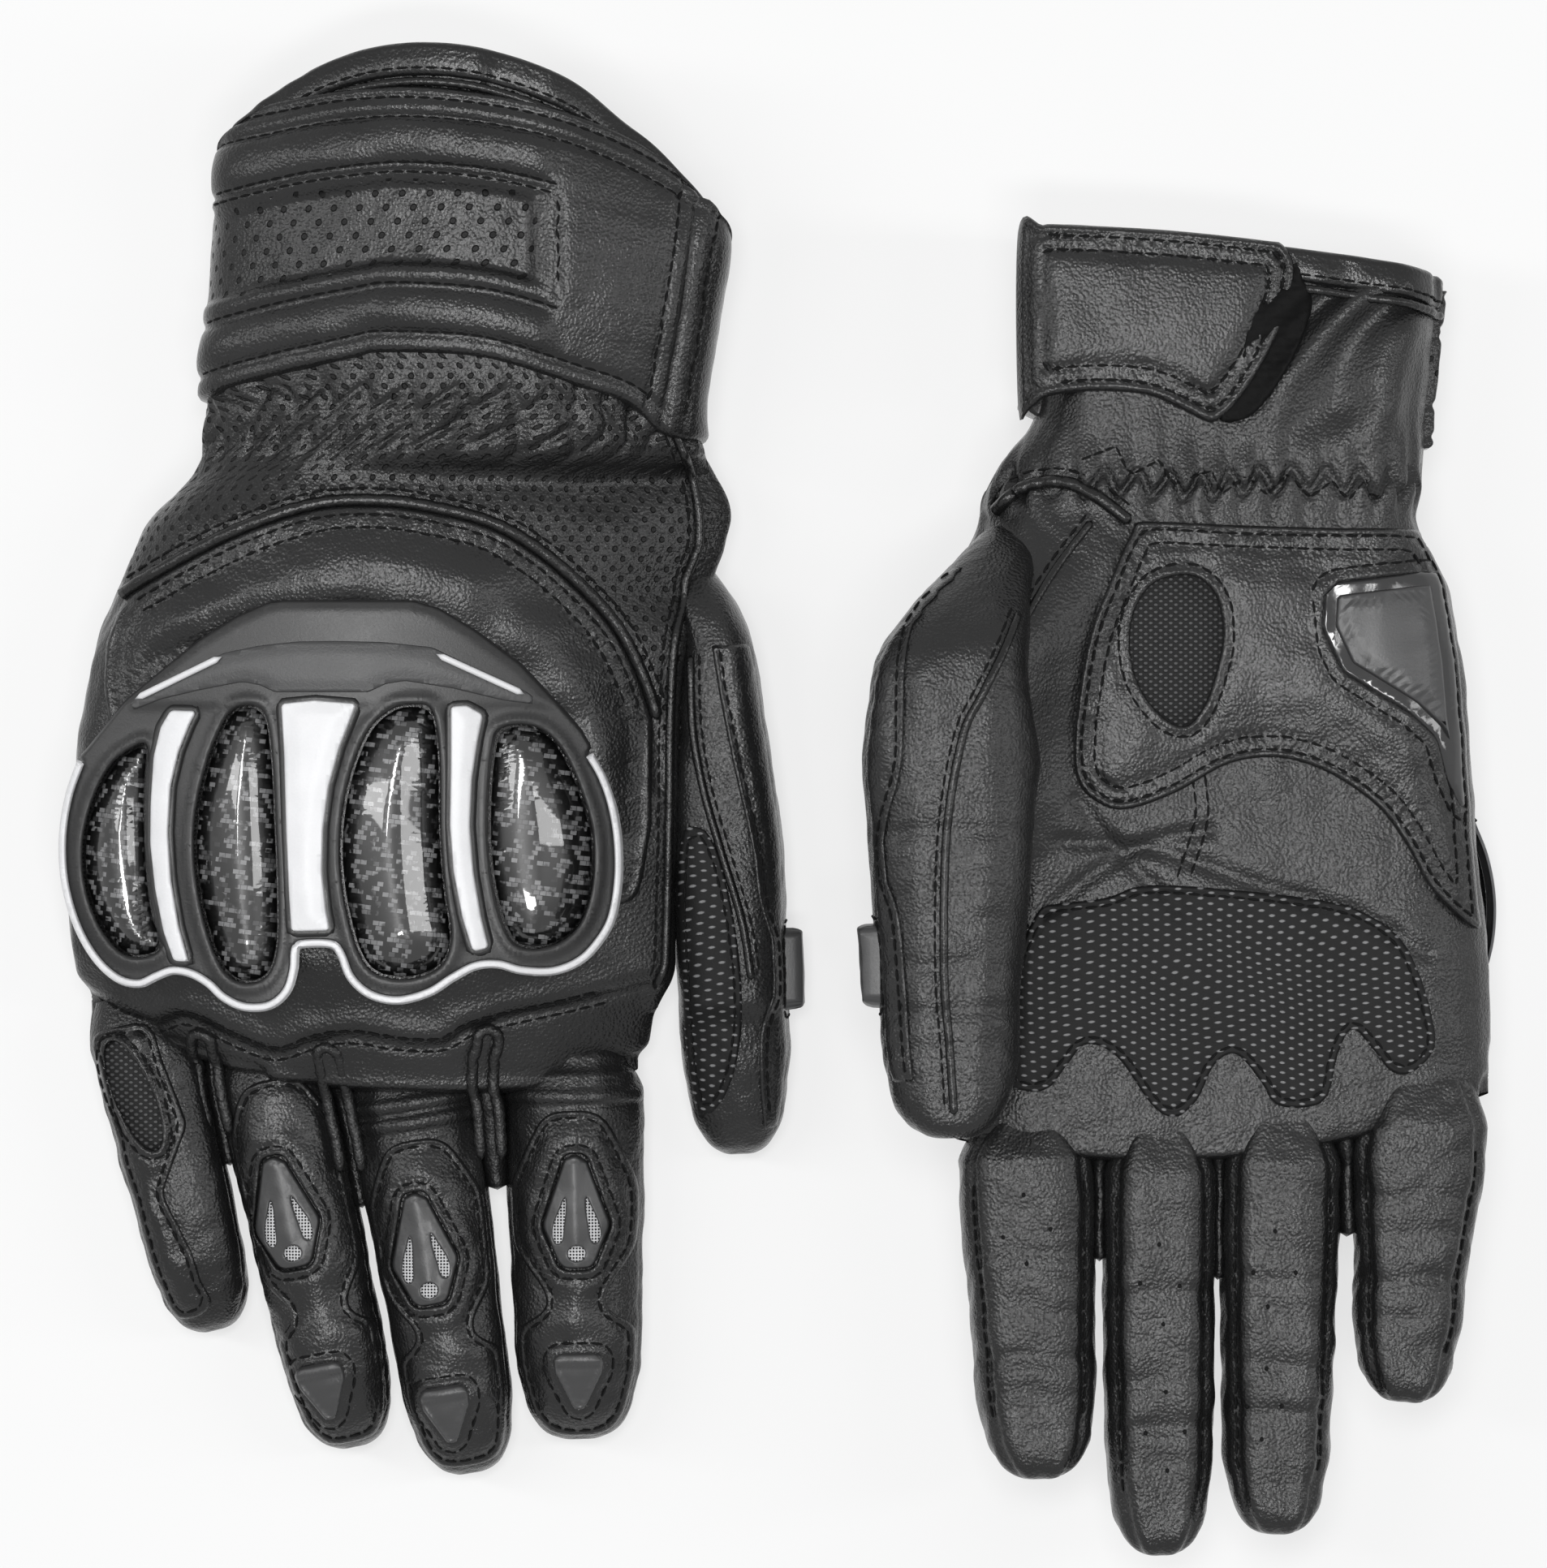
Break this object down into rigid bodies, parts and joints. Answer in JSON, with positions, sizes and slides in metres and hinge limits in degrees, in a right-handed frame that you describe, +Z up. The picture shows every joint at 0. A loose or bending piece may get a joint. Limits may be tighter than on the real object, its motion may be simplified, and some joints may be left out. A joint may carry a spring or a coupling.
{
  "type": "armoured motorcycle riding gloves",
  "caption": "Pair of short-cuff leather riding gloves with a moulded knuckle guard, vented armoured fingers, palm sliders and a hook-and-loop wrist strap.",
  "frame": {"origin": "centre of the pair's footprint, on the surface that the gloves lie on", "axes": "+Y from the fingertips towards the cuffs, +Z up from the surface, +X towards the glove that lies palm up"},
  "size_m": [0.2814, 0.2961, 0.0662],
  "materials": {
    "leather": "black pebbled leather, semi-gloss",
    "binding": "black folded edge leather",
    "guard": "dark grey moulded plastic, satin",
    "shield": "mid grey moulded plastic, matt",
    "trim": "white moulded plastic",
    "dome": "woven carbon look under clear gloss",
    "slider": "dark grey hard plastic, semi-gloss",
    "grip": "black suede with printed grip dashes"
  },
  "bodies": {
    "gloves": {"down_hand_shell": "leather", "down_cuff_shell": "leather", "down_cuff_binding": "binding", "down_strap_band": "leather", "down_back_pad": "leather", "down_knuckle_frame": "guard", "down_knuckle_domes": "dome", "down_knuckle_trim": "trim", "down_knuckle_shield": "shield", "down_heel_pad": "leather", "down_palm_slider": "slider", "down_grip_patch": "grip", "up_hand_shell": "leather", "up_cuff_shell": "leather", "up_cuff_binding": "binding", "up_strap_band": "leather", "up_back_pad": "leather", "up_knuckle_frame": "guard", "up_knuckle_domes": "dome", "up_knuckle_trim": "trim", "up_knuckle_shield": "shield", "up_heel_pad": "leather", "up_palm_slider": "slider", "up_grip_patch": "grip"},
    "down_flap": {"down_strap_flap": "leather"},
    "down_thumb": {"down_thumb_base": "leather", "down_thumb_slider": "slider"},
    "down_thumb_end": {"down_thumb_tip": "leather"},
    "down_little": {"down_little_base": "leather"},
    "down_little_end": {"down_little_tip": "leather"},
    "down_ring": {"down_ring_base": "leather", "down_ring_vent": "guard"},
    "down_ring_end": {"down_ring_tip": "leather", "down_ring_slider": "slider"},
    "down_middle": {"down_middle_base": "leather", "down_middle_vent": "guard"},
    "down_middle_end": {"down_middle_tip": "leather", "down_middle_slider": "slider"},
    "down_index": {"down_index_base": "leather", "down_index_vent": "guard"},
    "down_index_end": {"down_index_tip": "leather", "down_index_slider": "slider"},
    "up_flap": {"up_strap_flap": "leather"},
    "up_thumb": {"up_thumb_base": "leather", "up_thumb_slider": "slider"},
    "up_thumb_end": {"up_thumb_tip": "leather"},
    "up_little": {"up_little_base": "leather"},
    "up_little_end": {"up_little_tip": "leather"},
    "up_ring": {"up_ring_base": "leather", "up_ring_vent": "guard"},
    "up_ring_end": {"up_ring_tip": "leather", "up_ring_slider": "slider"},
    "up_middle": {"up_middle_base": "leather", "up_middle_vent": "guard"},
    "up_middle_end": {"up_middle_tip": "leather", "up_middle_slider": "slider"},
    "up_index": {"up_index_base": "leather", "up_index_vent": "guard"},
    "up_index_end": {"up_index_tip": "leather", "up_index_slider": "slider"}
  },
  "joints": [
    {"name": "down_strap_opens", "type": "hinge", "parent": "gloves", "child": "down_flap", "pos_m": [-0.0089, 0.0958, 0.004], "axis": [0, -1, 0], "range_deg": [0, 150]},
    {"name": "down_thumb_swings", "type": "hinge", "parent": "gloves", "child": "down_thumb", "pos_m": [-0.0123, 0.0322, 0.0125], "axis": [0, 0, 1], "range_deg": [0, 20]},
    {"name": "down_thumb_bends", "type": "hinge", "parent": "down_thumb", "child": "down_thumb_end", "pos_m": [-0.00885, -0.04372, 0.0005], "axis": [0.999, 0.0454, 0], "range_deg": [0, 60]},
    {"name": "down_little_knuckle", "type": "hinge", "parent": "gloves", "child": "down_little", "pos_m": [-0.1267, -0.04552, 0.0004], "axis": [0.9724, 0.2334, 0], "range_deg": [0, 80]},
    {"name": "down_little_bends", "type": "hinge", "parent": "down_little", "child": "down_little_end", "pos_m": [-0.1176, -0.08344, 0.0004], "axis": [0.9724, 0.2334, 0], "range_deg": [0, 70]},
    {"name": "down_ring_knuckle", "type": "hinge", "parent": "gloves", "child": "down_ring", "pos_m": [-0.1008, -0.05425, 0.0004], "axis": [0.977, 0.213, 0], "range_deg": [0, 80]},
    {"name": "down_ring_bends", "type": "hinge", "parent": "down_ring", "child": "down_ring_end", "pos_m": [-0.08951, -0.10603, 0.0004], "axis": [0.977, 0.213, 0], "range_deg": [0, 70]},
    {"name": "down_middle_knuckle", "type": "hinge", "parent": "gloves", "child": "down_middle", "pos_m": [-0.0734, -0.0581, 0.0004], "axis": [0.9877, 0.1564, 0], "range_deg": [0, 80]},
    {"name": "down_middle_bends", "type": "hinge", "parent": "down_middle", "child": "down_middle_end", "pos_m": [-0.06511, -0.11044, 0.0004], "axis": [0.9877, 0.1564, 0], "range_deg": [0, 70]},
    {"name": "down_index_knuckle", "type": "hinge", "parent": "gloves", "child": "down_index", "pos_m": [-0.0407, -0.05543, 0.0004], "axis": [0.9998, 0.0175, 0], "range_deg": [0, 80]},
    {"name": "down_index_bends", "type": "hinge", "parent": "down_index", "child": "down_index_end", "pos_m": [-0.03984, -0.10442, 0.0004], "axis": [0.9998, 0.0175, 0], "range_deg": [0, 70]},
    {"name": "up_strap_opens", "type": "hinge", "parent": "gloves", "child": "up_flap", "pos_m": [0.0475, 0.0914, 0.0419], "axis": [0, -1, 0], "range_deg": [0, 150]},
    {"name": "up_thumb_swings", "type": "hinge", "parent": "gloves", "child": "up_thumb", "pos_m": [0.0329, 0.0274, 0.0542], "axis": [0, 0, -1], "range_deg": [0, 30]},
    {"name": "up_thumb_bends", "type": "hinge", "parent": "up_thumb", "child": "up_thumb_end", "pos_m": [0.0329, -0.0416, 0.0662], "axis": [-1, 0, 0], "range_deg": [0, 60]},
    {"name": "up_little_knuckle", "type": "hinge", "parent": "gloves", "child": "up_little", "pos_m": [0.1252, -0.06114, 0.0455], "axis": [-0.9978, 0.0663, 0], "range_deg": [0, 80]},
    {"name": "up_little_bends", "type": "hinge", "parent": "up_little", "child": "up_little_end", "pos_m": [0.12301, -0.09407, 0.0455], "axis": [-0.9978, 0.0663, 0], "range_deg": [0, 70]},
    {"name": "up_ring_knuckle", "type": "hinge", "parent": "gloves", "child": "up_ring", "pos_m": [0.0979, -0.0686, 0.0455], "axis": [-0.9998, 0.0175, 0], "range_deg": [0, 80]},
    {"name": "up_ring_bends", "type": "hinge", "parent": "up_ring", "child": "up_ring_end", "pos_m": [0.09701, -0.11959, 0.0455], "axis": [-0.9998, 0.0175, 0], "range_deg": [0, 70]},
    {"name": "up_middle_knuckle", "type": "hinge", "parent": "gloves", "child": "up_middle", "pos_m": [0.0741, -0.0706, 0.0455], "axis": [-1, 0, 0], "range_deg": [0, 80]},
    {"name": "up_middle_bends", "type": "hinge", "parent": "up_middle", "child": "up_middle_end", "pos_m": [0.0741, -0.1226, 0.0455], "axis": [-1, 0, 0], "range_deg": [0, 70]},
    {"name": "up_index_knuckle", "type": "hinge", "parent": "gloves", "child": "up_index", "pos_m": [0.048, -0.06799, 0.0455], "axis": [-0.999, -0.0436, 0], "range_deg": [0, 80]},
    {"name": "up_index_bends", "type": "hinge", "parent": "up_index", "child": "up_index_end", "pos_m": [0.04979, -0.10895, 0.0455], "axis": [-0.999, -0.0436, 0], "range_deg": [0, 70]}
  ]
}
